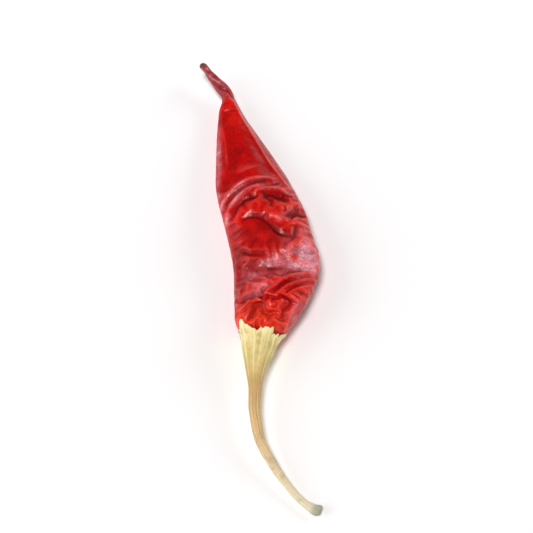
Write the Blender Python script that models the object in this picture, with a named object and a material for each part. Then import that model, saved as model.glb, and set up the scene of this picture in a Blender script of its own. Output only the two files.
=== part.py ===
"""A dried chilli pepper lying on its side: the collapsed red pod, and the straw-coloured
stalk whose flared calyx cups the pod's base. Blender units are metres, +Z up.

Sizes below are in millimetres and are scaled by MM when the meshes are made. +Y runs from
the cut end of the stem to the tip of the pod, and the surface that it rests on is z = 0.
The origin is the middle of the object's box, on that surface.
"""

import math

import bmesh
import bpy
import numpy as np

MM = 0.001

# ---- pod: its spine, with the half width, half height and section exponent there ----
# x, y, z of the spine, half width, half height, superellipse exponent, roll in degrees
POD_SPINE = [
    (-0.20, -2.85, 4.30, 4.50, 3.70, 2.00, 0.0),
    (0.95, 0.00, 4.30, 5.00, 3.85, 2.00, 2.0),
    (3.10, 3.80, 4.35, 6.35, 4.26, 2.00, 4.0),
    (5.15, 7.80, 4.28, 7.45, 4.48, 2.00, 5.0),
    (6.55, 11.20, 4.25, 8.05, 4.52, 2.00, 4.0),
    (7.00, 14.50, 4.22, 8.05, 4.50, 1.98, 2.0),
    (7.10, 21.50, 4.05, 7.90, 4.32, 1.92, -2.0),
    (6.70, 30.40, 3.55, 7.20, 3.80, 1.80, -6.0),
    (6.60, 36.50, 3.10, 5.90, 3.20, 1.72, -9.0),
    (6.50, 42.50, 2.75, 4.40, 2.60, 1.70, -12.0),
    (6.55, 48.40, 2.50, 2.65, 1.75, 1.75, -16.0),
    (6.90, 53.10, 2.75, 1.42, 1.12, 1.90, -20.0),
    (5.05, 57.10, 3.70, 1.02, 0.84, 2.00, -20.0),
    (3.20, 61.20, 4.75, 0.80, 0.70, 2.00, -20.0),
]
BASE_DOME = 3.6  # how far the rounded base takes to reach its full section
TIP_DOME = 0.9
POD_RINGS = 74
POD_SIDES = 36

# ---- folds of the dried skin, as valleys along lines on the top (+1) or underside (-1) ----
# side, depth, half breadth, [(x, y), ...]
FOLDS = [
    (1, 1.05, 1.6, [(4.6, 49.0), (5.2, 43.0), (5.0, 37.0), (3.6, 31.5)]),
    (1, 0.80, 1.5, [(0.2, 28.5), (4.2, 31.0), (8.5, 30.5), (12.6, 26.5)]),
    (1, 0.85, 1.4, [(8.2, 24.5), (9.8, 22.0), (12.8, 19.5)]),
    (1, 0.75, 1.3, [(-0.8, 12.0), (3.0, 10.6), (7.5, 10.0), (13.0, 11.6)]),
    (1, 0.90, 1.1, [(1.8, 1.4), (2.6, 4.2), (3.0, 8.0)]),
    (1, 0.70, 1.0, [(5.6, 1.4), (7.2, 4.2), (8.2, 7.4)]),
    (-1, 0.80, 1.6, [(3.0, 36.0), (6.5, 42.0), (6.6, 48.5)]),
    (-1, 0.90, 1.5, [(1.2, 2.0), (4.5, 6.0)]),
]

# ---- stalk: the spine of the calyx and stem, with the half width and half height there ----
STALK_SPINE = [
    (-0.20, -2.85, 4.30, 3.62, 3.25),
    (-0.85, -4.60, 4.32, 3.22, 2.98),
    (-1.84, -7.20, 4.32, 2.36, 2.26),
    (-2.70, -9.90, 4.22, 1.64, 1.60),
    (-3.35, -12.30, 4.08, 1.26, 1.24),
    (-4.45, -16.60, 3.70, 1.09, 1.07),
    (-4.75, -21.00, 3.12, 1.00, 0.98),
    (-3.55, -26.60, 2.16, 0.88, 0.86),
    (-1.55, -31.60, 1.32, 0.72, 0.71),
    (0.45, -35.00, 0.96, 0.72, 0.70),
    (1.65, -36.30, 0.98, 0.98, 0.92),
    (3.00, -37.05, 1.04, 1.12, 1.02),
]
CALYX_GAP = 0.30  # between the calyx's inside and the pod's base
CALYX_WALL = 0.42
CALYX_RIM_S = 1.05  # where the rim lies, measured along the pod's spine from its base
CALYX_TOOTH = 1.25  # how far a tooth of the calyx stands beyond the rim
CALYX_TEETH = 5
STALK_SIDES = 24
STALK_RINGS = 46
CUP_RINGS = 6
SKIRT_RINGS = 5


def monotone(xs, ys, x):
    """Monotone cubic interpolation of the table (xs, ys) at x."""
    xs, ys = np.asarray(xs, float), np.asarray(ys, float)
    x = np.clip(np.asarray(x, float), xs[0], xs[-1])
    h = np.diff(xs)
    d = np.diff(ys) / h
    m = np.zeros_like(ys)
    m[0], m[-1] = d[0], d[-1]
    for i in range(1, len(ys) - 1):
        if d[i - 1] * d[i] > 0:
            w1, w2 = 2 * h[i] + h[i - 1], h[i] + 2 * h[i - 1]
            m[i] = (w1 + w2) / (w1 / d[i - 1] + w2 / d[i])
    k = np.clip(np.searchsorted(xs, x) - 1, 0, len(h) - 1)
    t = (x - xs[k]) / h[k]
    a, b = ys[k], ys[k + 1]
    return (
        (1 + 2 * t) * (1 - t) ** 2 * a
        + t * (1 - t) ** 2 * h[k] * m[k]
        + t * t * (3 - 2 * t) * b
        + t * t * (t - 1) * h[k] * m[k + 1]
    )


def through(points, n=600):
    """A smooth curve through the table's rows: arc lengths and every column on n even steps."""
    rows = np.array(points, float)
    at = np.concatenate([[0], np.cumsum(np.linalg.norm(np.diff(rows[:, :3], axis=0), axis=1))])
    fine = np.linspace(0, at[-1], n)
    cols = np.stack([monotone(at, rows[:, c], fine) for c in range(rows.shape[1])], axis=1)
    for _ in range(60):
        cols[1:-1] += 0.5 * (0.5 * (cols[:-2] + cols[2:]) - cols[1:-1])
    length = np.concatenate([[0], np.cumsum(np.linalg.norm(np.diff(cols[:, :3], axis=0), axis=1))])
    return length, cols


def frames(length, cols, s):
    """Centre, side, up and the table's other columns at arc lengths s."""
    at = np.stack([np.interp(s, length, cols[:, c]) for c in range(cols.shape[1])], axis=-1)
    step = 0.6
    ahead = np.stack([np.interp(s + step, length, cols[:, c]) for c in range(3)], axis=-1)
    behind = np.stack([np.interp(s - step, length, cols[:, c]) for c in range(3)], axis=-1)
    along = ahead - behind
    along /= np.linalg.norm(along, axis=-1, keepdims=True)
    side = np.stack([along[..., 1], -along[..., 0], np.zeros_like(s)], axis=-1)
    side /= np.linalg.norm(side, axis=-1, keepdims=True)
    up = np.cross(side, along)
    return at, side, up, along


POD_LENGTH, POD_COLS = through(POD_SPINE)
STALK_LENGTH, STALK_COLS = through(STALK_SPINE)


def distance_to_line(x, y, line):
    """Distance from points to a polyline, and how far along it the nearest point is, 0 to 1."""
    line = np.array(line, float)
    best = np.full(np.shape(x), 1e9)
    share = np.zeros(np.shape(x))
    for i, (a, b) in enumerate(zip(line[:-1], line[1:])):
        d = b - a
        t = np.clip(((x - a[0]) * d[0] + (y - a[1]) * d[1]) / (d @ d), 0, 1)
        away = np.hypot(x - a[0] - t * d[0], y - a[1] - t * d[1])
        nearer = away < best
        best = np.where(nearer, away, best)
        share = np.where(nearer, (i + t) / (len(line) - 1), share)
    return best, share


def pod_surface(s, angle):
    """Points of the pod's skin at arc length s along its spine and angle round it."""
    at, side, up, _ = frames(POD_LENGTH, POD_COLS, s)
    whole = POD_LENGTH[-1]
    dome = np.sqrt(np.clip(1 - (1 - np.clip(s / BASE_DOME, 0, 1)) ** 2, 0, 1))
    dome = dome * np.sqrt(np.clip(1 - (1 - np.clip((whole - s) / TIP_DOME, 0, 1)) ** 2, 0, 1))
    a, b, n, roll = at[..., 3] * dome, at[..., 4] * dome, at[..., 5], np.radians(at[..., 6])
    c, d = np.cos(angle), np.sin(angle)
    u = a * np.sign(c) * np.abs(c) ** (2 / n)
    v = b * np.sign(d) * np.abs(d) ** (2 / n)
    turned_u = u * np.cos(roll) - v * np.sin(roll)
    turned_v = u * np.sin(roll) + v * np.cos(roll)
    p = at[..., :3] + side * turned_u[..., None] + up * turned_v[..., None]
    facing = v / np.maximum(b, 1e-6)
    for which, depth, breadth, line in FOLDS:
        away, share = distance_to_line(p[..., 0], p[..., 1], line)
        on_side = np.clip(facing * which, 0, 1) ** 0.7
        fade = np.clip(np.minimum(share, 1 - share) / 0.18, 0, 1)
        fade = fade * fade * (3 - 2 * fade)
        p = p - up * (which * depth * on_side * fade * np.exp(-((away / breadth) ** 2)))[..., None]
    p[..., 2] = np.maximum(p[..., 2], 0.0)
    return p


def pod_rings():
    """Arc lengths of the pod's rings: close together on its rounded ends."""
    base = BASE_DOME * (1 - np.cos(np.linspace(0.16, math.pi / 2, 9)))
    tip = POD_LENGTH[-1] - TIP_DOME * (1 - np.cos(np.linspace(math.pi / 2, 0.35, 4)))
    middle = np.linspace(base[-1], tip[0], POD_RINGS - len(base) - len(tip) + 2)[1:-1]
    return np.concatenate([base, middle, tip])


def pod_offset(s, angle, off):
    """Points of the pod's skin moved outwards by off."""
    e = 0.02
    p = pod_surface(s, angle)
    du = pod_surface(s + e, angle) - pod_surface(s - e, angle)
    dv = pod_surface(s, angle + e) - pod_surface(s, angle - e)
    n = np.cross(dv, du)
    n /= np.maximum(np.linalg.norm(n, axis=-1, keepdims=True), 1e-9)
    middle = frames(POD_LENGTH, POD_COLS, s)[0][..., :3]
    n *= np.sign(np.sum(n * (p - middle), axis=-1, keepdims=True))
    return p + n * off


def tooth(angle):
    """The calyx's blunt teeth, 0 in the notches and 1 on their points."""
    wave = 0.5 + 0.5 * np.cos(CALYX_TEETH * angle + 0.6)
    return wave**1.3 * (0.75 + 0.25 * np.cos(2 * angle + 1.1))


def stalk_surface(s, angle):
    at, side, up, _ = frames(STALK_LENGTH, STALK_COLS, s)
    ribs = 1 + 0.045 * np.cos(5 * angle + 0.6) * np.clip(1 - s / 18.0, 0.25, 1)
    u = at[..., 3] * np.cos(angle) * ribs
    v = at[..., 4] * np.sin(angle) * ribs
    # the stalk's spine runs away from the pod, so its side vector is turned round to match the pod's
    return at[..., :3] - side * u[..., None] + up * v[..., None]


def lofted(name, rings, start, end, colour, roughness):
    """A closed mesh through rings of points, closed at each end by a fan to one point."""
    bm = bmesh.new()
    made = [[bm.verts.new([c * MM for c in p]) for p in ring] for ring in rings]
    first, last = (bm.verts.new([c * MM for c in p]) for p in (start, end))
    n = len(made[0])
    for i in range(n):
        j = (i + 1) % n
        bm.faces.new((first, made[0][j], made[0][i]))
        bm.faces.new((last, made[-1][i], made[-1][j]))
        for a, b in zip(made[:-1], made[1:]):
            bm.faces.new((a[i], a[j], b[j], b[i]))
    bmesh.ops.recalc_face_normals(bm, faces=bm.faces)
    mesh = bpy.data.meshes.new(name)
    bm.to_mesh(mesh)
    bm.free()
    mesh.shade_smooth()
    obj = bpy.data.objects.new(name, mesh)
    bpy.context.scene.collection.objects.link(obj)
    material = bpy.data.materials.new(name)
    material.use_nodes = True
    shader = material.node_tree.nodes["Principled BSDF"]
    shader.inputs["Base Color"].default_value = (*colour, 1)
    shader.inputs["Roughness"].default_value = roughness
    mesh.materials.append(material)
    return obj


def make_pod():
    angles = np.linspace(0, 2 * math.pi, POD_SIDES, endpoint=False)
    s, a = np.meshgrid(pod_rings(), angles, indexing="ij")
    rings = pod_surface(s, a)
    base = frames(POD_LENGTH, POD_COLS, np.array(0.0))[0][:3]
    tip = frames(POD_LENGTH, POD_COLS, np.array(POD_LENGTH[-1]))[0][:3]
    return lofted("pod", rings, base, tip, (0.42, 0.012, 0.010), 0.32)


def make_stalk():
    angles = np.linspace(0, 2 * math.pi, STALK_SIDES, endpoint=False)
    whole = STALK_LENGTH[-1]
    rings = []
    # stem and cone, from the cut end to the pod's base
    ends = whole - 1.0 * (1 - np.cos(np.linspace(0.25, math.pi / 2, 5)))
    shrink = np.concatenate([np.sin(np.linspace(0.25, math.pi / 2, 5)), np.ones(STALK_RINGS)])
    along = np.concatenate([ends, np.linspace(ends[-1], 0.0, STALK_RINGS + 1)[1:]])
    for s, k in zip(along, shrink):
        ring = stalk_surface(np.full_like(angles, s), angles)
        centre = frames(STALK_LENGTH, STALK_COLS, np.array(s))[0][:3]
        rings.append(centre + (ring - centre) * k)
    # skirt, from the cone out to the toothed rim, lying over the pod's base
    rim = CALYX_RIM_S + CALYX_TOOTH * tooth(angles)
    low = rings[-1]
    for k in np.linspace(0, 1, SKIRT_RINGS + 1)[1:]:
        over = pod_offset(
            np.maximum(rim * k**0.7 - 0.10 * k, 0.12),
            angles,
            CALYX_GAP + CALYX_WALL * (2.2 - 1.5 * k),
        )
        w = 1 - (1 - k) ** 1.6
        rings.append(low * (1 - w) + over * w)
    # inside of the cup, from the rim in to its middle
    for k in np.linspace(1, 0, CUP_RINGS + 1)[:-1]:
        rings.append(pod_offset(0.10 + (rim - 0.10) * k**1.6, angles, CALYX_GAP))
    at, _, _, away = frames(STALK_LENGTH, STALK_COLS, np.array(whole))
    end = at[:3]
    base, _, _, up_pod = frames(POD_LENGTH, POD_COLS, np.array(0.0))
    inside = base[:3] - up_pod * (CALYX_GAP + 0.02)
    return lofted("calyx_and_stem", rings, end, inside, (0.56, 0.47, 0.22), 0.7)


def set_origin(objects):
    """Moves the meshes so that the origin is the middle of their box, at the resting surface."""
    points = np.array([v.co for o in objects for v in o.data.vertices])
    low, high = points.min(axis=0), points.max(axis=0)
    middle = (low + high) / 2
    for o in objects:
        for v in o.data.vertices:
            v.co.x -= middle[0]
            v.co.y -= middle[1]
        o.data.update()
    print("box in mm", np.round((high - low) * 1000, 3), "shift", np.round(middle * 1000, 5), "lowest", low[2])


for old in list(bpy.data.objects):
    bpy.data.objects.remove(old, do_unlink=True)

set_origin([make_pod(), make_stalk()])
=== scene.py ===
"""The looks of a dried chilli pepper lying on its side: a glossy, wrinkled, collapsed red
pod with a twisted tail, and its straw-green calyx and stem. Sizes are in millimetres until
the meshes are made. The pod's skin starts on the CAD pod's own surface and is wrinkled by a
simulation of a thin sheet, too large for what it covers, on a soft bed."""

import math

import bpy
import numpy as np
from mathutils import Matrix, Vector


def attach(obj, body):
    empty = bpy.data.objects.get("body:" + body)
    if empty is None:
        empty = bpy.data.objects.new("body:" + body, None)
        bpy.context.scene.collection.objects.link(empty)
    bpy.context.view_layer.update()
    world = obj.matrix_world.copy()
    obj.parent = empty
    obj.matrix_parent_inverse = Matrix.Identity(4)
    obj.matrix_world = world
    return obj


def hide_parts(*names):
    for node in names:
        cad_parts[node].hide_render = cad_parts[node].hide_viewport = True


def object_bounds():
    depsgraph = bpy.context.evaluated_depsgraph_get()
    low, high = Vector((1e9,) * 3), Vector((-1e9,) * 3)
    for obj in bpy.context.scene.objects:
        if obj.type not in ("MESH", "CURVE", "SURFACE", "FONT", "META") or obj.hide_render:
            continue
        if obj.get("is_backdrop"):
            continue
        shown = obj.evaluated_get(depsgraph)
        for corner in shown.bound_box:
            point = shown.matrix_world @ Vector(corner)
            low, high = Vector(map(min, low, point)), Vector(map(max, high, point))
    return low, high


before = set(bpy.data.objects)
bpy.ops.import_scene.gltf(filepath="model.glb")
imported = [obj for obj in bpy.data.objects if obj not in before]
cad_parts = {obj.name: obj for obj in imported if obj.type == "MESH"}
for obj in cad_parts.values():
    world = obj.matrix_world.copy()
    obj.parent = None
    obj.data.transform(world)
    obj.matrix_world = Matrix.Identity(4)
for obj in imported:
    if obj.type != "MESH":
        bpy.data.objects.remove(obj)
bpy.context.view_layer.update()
MM = 0.001

# ------------------------------------------------------------------ the CAD model's surface
# x, y, z of the spine, half width, half height, superellipse exponent, roll in degrees
POD_SPINE = [
    (-0.20, -2.85, 4.30, 4.50, 3.70, 2.00, 0.0),
    (0.95, 0.00, 4.30, 5.00, 3.85, 2.00, 2.0),
    (3.10, 3.80, 4.35, 6.35, 4.26, 2.00, 4.0),
    (5.15, 7.80, 4.28, 7.45, 4.48, 2.00, 5.0),
    (6.55, 11.20, 4.25, 8.05, 4.52, 2.00, 4.0),
    (7.00, 14.50, 4.22, 8.05, 4.50, 1.98, 2.0),
    (7.10, 21.50, 4.05, 7.90, 4.32, 1.92, -2.0),
    (6.70, 30.40, 3.55, 7.20, 3.80, 1.80, -6.0),
    (6.60, 36.50, 3.10, 5.90, 3.20, 1.72, -9.0),
    (6.50, 42.50, 2.75, 4.40, 2.60, 1.70, -12.0),
    (6.55, 48.40, 2.50, 2.65, 1.75, 1.75, -16.0),
    (6.90, 53.10, 2.75, 1.42, 1.12, 1.90, -20.0),
    (5.05, 57.10, 3.70, 1.02, 0.84, 2.00, -20.0),
    (3.20, 61.20, 4.75, 0.80, 0.70, 2.00, -20.0),
]
STALK_SPINE = [
    (-0.20, -2.85, 4.30, 3.62, 3.25),
    (-0.85, -4.60, 4.32, 3.22, 2.98),
    (-1.84, -7.20, 4.32, 2.36, 2.26),
    (-2.70, -9.90, 4.22, 1.64, 1.60),
    (-3.35, -12.30, 4.08, 1.26, 1.24),
    (-4.45, -16.60, 3.70, 1.09, 1.07),
    (-4.75, -21.00, 3.12, 1.00, 0.98),
    (-3.55, -26.60, 2.16, 0.88, 0.86),
    (-1.55, -31.60, 1.32, 0.72, 0.71),
    (0.45, -35.00, 0.96, 0.72, 0.70),
    (1.65, -36.30, 0.98, 0.98, 0.92),
    (3.00, -37.05, 1.04, 1.12, 1.02),
]
BASE_DOME, TIP_DOME = 3.6, 0.9
CALYX_GAP, CALYX_WALL = 0.30, 0.42
CALYX_RIM_S, CALYX_TOOTH, CALYX_TEETH = 1.05, 1.25, 5
SHIFT = np.array([4.66924, 11.8265, 0.0])  # from the spine's frame to the object's origin


def monotone(xs, ys, x):
    xs, ys = np.asarray(xs, float), np.asarray(ys, float)
    x = np.clip(np.asarray(x, float), xs[0], xs[-1])
    h = np.diff(xs)
    d = np.diff(ys) / h
    m = np.zeros_like(ys)
    m[0], m[-1] = d[0], d[-1]
    for i in range(1, len(ys) - 1):
        if d[i - 1] * d[i] > 0:
            w1, w2 = 2 * h[i] + h[i - 1], h[i] + 2 * h[i - 1]
            m[i] = (w1 + w2) / (w1 / d[i - 1] + w2 / d[i])
    k = np.clip(np.searchsorted(xs, x) - 1, 0, len(h) - 1)
    t = (x - xs[k]) / h[k]
    a, b = ys[k], ys[k + 1]
    return (
        (1 + 2 * t) * (1 - t) ** 2 * a
        + t * (1 - t) ** 2 * h[k] * m[k]
        + t * t * (3 - 2 * t) * b
        + t * t * (t - 1) * h[k] * m[k + 1]
    )


def through(points, n=600):
    rows = np.array(points, float)
    at = np.concatenate([[0], np.cumsum(np.linalg.norm(np.diff(rows[:, :3], axis=0), axis=1))])
    fine = np.linspace(0, at[-1], n)
    cols = np.stack([monotone(at, rows[:, c], fine) for c in range(rows.shape[1])], axis=1)
    for _ in range(60):
        cols[1:-1] += 0.5 * (0.5 * (cols[:-2] + cols[2:]) - cols[1:-1])
    length = np.concatenate([[0], np.cumsum(np.linalg.norm(np.diff(cols[:, :3], axis=0), axis=1))])
    return length, cols


def frames(length, cols, s):
    at = np.stack([np.interp(s, length, cols[:, c]) for c in range(cols.shape[1])], axis=-1)
    step = 2.2  # long enough that the rings don't crowd on the inner side of the pod's bend
    ahead = np.stack([np.interp(s + step, length, cols[:, c]) for c in range(3)], axis=-1)
    behind = np.stack([np.interp(s - step, length, cols[:, c]) for c in range(3)], axis=-1)
    along = ahead - behind
    along /= np.linalg.norm(along, axis=-1, keepdims=True)
    side = np.stack([along[..., 1], -along[..., 0], np.zeros_like(s)], axis=-1)
    side /= np.linalg.norm(side, axis=-1, keepdims=True)
    up = np.cross(side, along)
    return at, side, up, along


POD_LENGTH, POD_COLS = through(POD_SPINE)
STALK_LENGTH, STALK_COLS = through(STALK_SPINE)
POD_WHOLE, STALK_WHOLE = POD_LENGTH[-1], STALK_LENGTH[-1]


def smooth01(x):
    x = np.clip(x, 0, 1)
    return x * x * (3 - 2 * x)


def plateau(x, a, b, soft):
    """1 between a and b, falling smoothly to 0 over soft outside them."""
    return smooth01((x - a + soft) / soft) * smooth01((b + soft - x) / soft)


# ------------------------------------------------------------------ folds listed one by one
# side (+1 top, -1 under), height (- is a valley), half breadth, how sharp (0 round, 1 cusp),
# reach of its ends, [(x, y), ...]
STROKES = [
    # the long edges of the flattened, tapering end, the crest inside the right one, and
    # the shallow hollow between them
    (1, 0.42, 0.90, 0.9, 0.12, [(7.3, 52.2), (8.3, 46.9), (9.6, 41.1), (11.0, 34.3), (12.4, 29.6), (13.6, 26.3)]),
    (1, -0.50, 1.90, 0.0, 0.25, [(5.9, 49.4), (5.9, 44.4), (5.7, 38.1), (6.4, 32.6)]),
    (1, 0.20, 0.50, 0.9, 0.30, [(4.9, 50.0), (4.0, 45.0), (3.4, 39.3), (2.6, 34.4)]),
    # crescents up and left of the dome
    (1, 0.26, 0.34, 0.9, 0.25, [(-1.3, 24.6), (-0.2, 27.0), (1.8, 28.8), (4.6, 29.8), (8.0, 30.0), (11.4, 29.4)]),
    (1, -0.14, 0.60, 0.2, 0.25, [(-0.9, 24.0), (1.0, 26.6), (3.2, 28.2), (6.0, 29.0), (9.2, 28.9)]),
    (1, 0.34, 0.38, 0.9, 0.20, [(-1.1, 21.0), (0.0, 24.0), (1.8, 26.2), (4.4, 27.6), (7.6, 28.2)]),
    (1, 0.30, 0.40, 0.9, 0.25, [(5.6, 26.2), (8.4, 27.2), (11.2, 26.9), (13.2, 25.0)]),
    (1, -0.18, 0.80, 0.1, 0.25, [(-0.2, 20.4), (1.4, 23.6), (3.6, 25.4), (6.6, 26.0)]),
    (1, -0.14, 0.70, 0.1, 0.30, [(7.4, 25.4), (9.8, 25.4), (12.2, 23.0)]),
    # the swirl on the dome
    (1, -0.42, 0.80, 0.3, 0.30, [(2.0, 20.8), (4.0, 21.6), (5.8, 20.8), (7.0, 18.8), (8.2, 16.6), (10.2, 15.2)]),
    (1, 0.34, 1.00, 0.4, 0.40, [(7.0, 22.8), (8.8, 20.4), (11.0, 18.6)]),
    (1, 0.26, 0.80, 0.4, 0.40, [(3.6, 19.0), (5.0, 16.8), (6.4, 15.4)]),
    (1, -0.16, 0.60, 0.3, 0.25, [(-0.4, 17.4), (0.8, 14.8), (3.0, 13.2), (5.4, 12.6)]),
    (1, -0.18, 0.60, 0.3, 0.30, [(8.2, 13.0), (10.6, 14.8), (12.4, 17.8)]),
    (1, 0.20, 0.45, 0.8, 0.30, [(9.4, 17.2), (11.6, 18.2), (13.6, 20.4)]),
    # the waist: the skin falls from the dome toward the shoulder
    (1, -0.90, 3.20, 0.0, 0.15, [(-8.0, 11.2), (-1.0, 10.8), (6.0, 9.6), (13.5, 10.2), (20.0, 10.8)]),
    # tight folds that fan out from the right shoulder
    (1, -0.16, 0.50, 0.2, 0.25, [(13.5, 8.2), (10.8, 7.9), (8.2, 7.8), (5.6, 7.2)]),
    (1, 0.40, 0.32, 0.9, 0.20, [(13.8, 7.5), (10.9, 6.9), (8.4, 6.8), (6.2, 6.4), (4.2, 5.4), (2.8, 4.4)]),
    (1, -0.28, 0.34, 0.4, 0.20, [(13.5, 6.9), (11.0, 6.3), (8.4, 6.0), (6.3, 5.5), (4.2, 4.4)]),
    (1, 0.38, 0.32, 0.9, 0.20, [(13.4, 6.3), (11.1, 5.7), (8.4, 5.3), (6.3, 4.6), (4.3, 3.3)]),
    (1, -0.26, 0.34, 0.4, 0.25, [(13.0, 5.7), (10.8, 5.1), (8.4, 4.6), (6.2, 3.8)]),
    (1, 0.30, 0.32, 0.9, 0.25, [(12.5, 5.0), (10.3, 4.5), (8.4, 4.0), (5.9, 3.0)]),
    # left shoulder and the crumpled skin that runs into the calyx
    (1, 0.38, 0.42, 0.9, 0.25, [(-2.6, 2.7), (-0.8, 3.4), (0.8, 3.4), (2.3, 2.9), (3.8, 2.0)]),
    (1, -0.24, 0.60, 0.3, 0.25, [(-2.4, 4.6), (0.2, 5.0), (2.6, 4.3)]),
    (1, -0.22, 0.60, 0.3, 0.30, [(-2.0, -0.9), (-1.5, 0.2), (-0.2, 1.2), (0.2, 2.2)]),
    (1, 0.28, 0.40, 0.9, 0.30, [(-0.9, -1.7), (-0.5, -0.6), (0.7, 0.3), (0.8, 1.2)]),
    (1, -0.20, 0.50, 0.3, 0.30, [(0.8, -1.5), (1.3, -0.7), (2.8, 0.2), (3.1, 1.0)]),
    (1, 0.24, 0.40, 0.9, 0.30, [(2.2, 1.9), (3.3, 1.2), (4.6, 1.2)]),
    (1, -0.26, 0.60, 0.3, 0.24, [(3.4, -2.4), (4.6, -0.7), (6.0, 1.0), (7.6, 2.2)]),
    (1, 0.50, 0.42, 0.9, 0.18, [(4.4, -2.7), (5.6, -1.2), (7.0, 0.5), (8.6, 2.0), (10.2, 3.0)]),
    (1, -0.22, 0.90, 0.1, 0.30, [(5.6, -2.4), (7.4, -0.5), (9.4, 1.4)]),
    # underside and flanks
    (-1, 0.40, 0.90, 0.8, 0.20, [(2.0, 52.0), (3.6, 44.0), (3.0, 36.0), (0.8, 30.0)]),
    (-1, -0.45, 1.20, 0.2, 0.20, [(5.8, 50.0), (6.6, 43.0), (7.8, 36.0)]),
    (-1, -0.40, 0.80, 0.3, 0.20, [(9.0, 31.0), (12.0, 27.0), (12.8, 22.0)]),
    (-1, 0.35, 0.60, 0.8, 0.20, [(10.5, 33.5), (13.2, 28.5), (14.0, 23.0)]),
    (-1, -0.40, 0.80, 0.3, 0.20, [(-0.2, 27.0), (0.4, 21.0), (-0.4, 15.0)]),
    (-1, -0.40, 0.70, 0.3, 0.20, [(9.5, 15.5), (12.5, 13.0), (12.4, 9.5)]),
    (-1, -0.38, 0.70, 0.3, 0.25, [(0.4, -0.8), (1.6, 2.5), (3.5, 8.0)]),
    (-1, -0.38, 0.70, 0.3, 0.25, [(-2.0, -0.4), (-1.6, 5.0), (-0.6, 9.5)]),
    (-1, 0.34, 0.60, 0.8, 0.25, [(2.6, -1.4), (5.4, 3.0), (9.4, 7.6)]),
]

# where the skin has too much length: side, centre x, y, radii, turn of the patch in degrees,
# the way it is too long in degrees from +X, how much
PATCHES = [
    (1, 9.0, 5.8, 5.5, 2.4, -8, 84, 0.13),
    (1, 1.5, 26.2, 4.0, 3.6, 35, 128, 0.05),
    (1, 8.0, 28.0, 5.0, 2.0, -8, 82, 0.05),
    (1, 1.4, 0.2, 4.5, 3.2, 20, -30, 0.10),
    (1, 1.0, 0.8, 4.0, 2.4, 20, 60, 0.08),
    (1, 1.0, 4.4, 4.5, 2.4, 10, 70, 0.06),
    (-1, 9.0, 12.0, 7.0, 5.0, 0, 80, 0.12),
    (-1, 4.0, 3.0, 6.0, 5.0, 20, -15, 0.18),
    (-1, 6.5, 38.0, 5.0, 9.0, 0, 5, 0.08),
    (0, 5.4, 57.0, 4.0, 3.6, 0, 10, 0.14),
]

# where it lies taut: centre x, y, radii, turn in degrees, how much less it wrinkles
TAUT = [
    (7.6, -0.2, 1.8, 4.2, -40, 0.85),
    (6.5, 40.0, 5.0, 9.0, 0, 0.65),
    (5.0, 19.2, 5.4, 5.0, -20, 0.85),
    (1.0, 24.6, 3.4, 2.4, 45, 0.85),
    (12.0, 30.4, 2.2, 8.0, 18, 0.75),
    (7.4, 10.4, 8.5, 2.3, 0, 0.75),
    (-0.6, 16.0, 2.0, 7.0, 0, 0.60),
]

# where it is drawn smooth once it has dried: side, centre x, y, radii, how much
SMOOTH = [
    (1, 4.6, 19.4, 4.4, 4.4, 0.45),
    (1, 1.2, 24.8, 2.2, 2.4, 0.50),
    (1, 6.4, 39.0, 4.6, 8.5, 0.60),
    (1, 10.0, 10.6, 5.0, 2.0, 0.35),
    (1, -0.9, 7.2, 1.6, 3.2, 0.60),
    (1, 7.8, -0.2, 2.0, 2.6, 0.50),
]

# where it is dull and paler: partly a dull, leathery bloom on the skin and partly painted sheen, painted highlights
# along the crescents and painted reflection as pale rims along the edges; side (0 both), centre x, y, radii, turn in
# degrees, how much
BLOOM_AND_PAINTED_SHEEN = [
    (1, 13.4, 10.6, 3.6, 3.2, 4, 2.30),
    (1, 9.2, 9.8, 3.8, 2.0, 0, 0.85),
    (1, 4.8, 10.6, 3.0, 1.6, 0, 0.32),
    (1, 1.8, 9.6, 2.0, 1.3, -8, 0.45),
    (1, 1.9, 5.9, 2.2, 1.3, 10, 0.85),
    (1, 14.3, 15.0, 1.2, 2.6, 10, 0.75),
    (1, 9.6, 19.4, 1.1, 0.8, -30, 0.35),
    (1, 7.4, -0.4, 0.85, 3.0, -42, 1.90),
    (0, -0.7, 27.0, 0.6, 5.0, -2, 0.75),
    (0, 1.5, 38.0, 0.55, 7.0, -13, 0.75),
    (1, 4.5, 28.2, 6.0, 0.9, 0, 0.25),
    (1, 12.4, 27.8, 0.6, 2.6, 30, 0.30),
    (1, 9.9, 43.5, 0.40, 7.0, 17, 0.50),
    (1, 0.6, 27.8, 1.9, 0.38, 45, 0.70),
    (1, 3.4, 29.4, 2.0, 0.38, 20, 0.70),
    (1, 7.6, 30.0, 3.2, 0.38, 0, 0.55),
    (1, -0.4, 22.8, 1.8, 0.40, 70, 0.60),
    (1, 1.0, 25.3, 1.6, 0.40, 50, 0.70),
    (1, 3.2, 27.0, 1.8, 0.40, 28, 0.70),
    (1, 6.4, 28.0, 2.0, 0.40, 8, 0.55),
    (1, 9.4, 27.1, 2.4, 0.40, 0, 0.50),
    (1, 12.3, 26.0, 1.4, 0.40, -45, 0.50),
    (-1, 4.0, 20.0, 6.0, 7.0, 0, 0.50),
    (-1, 6.0, 38.0, 3.0, 7.0, 0, 0.40),
    (0, 5.0, 56.5, 4.0, 4.0, 0, 0.35),
]
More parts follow.
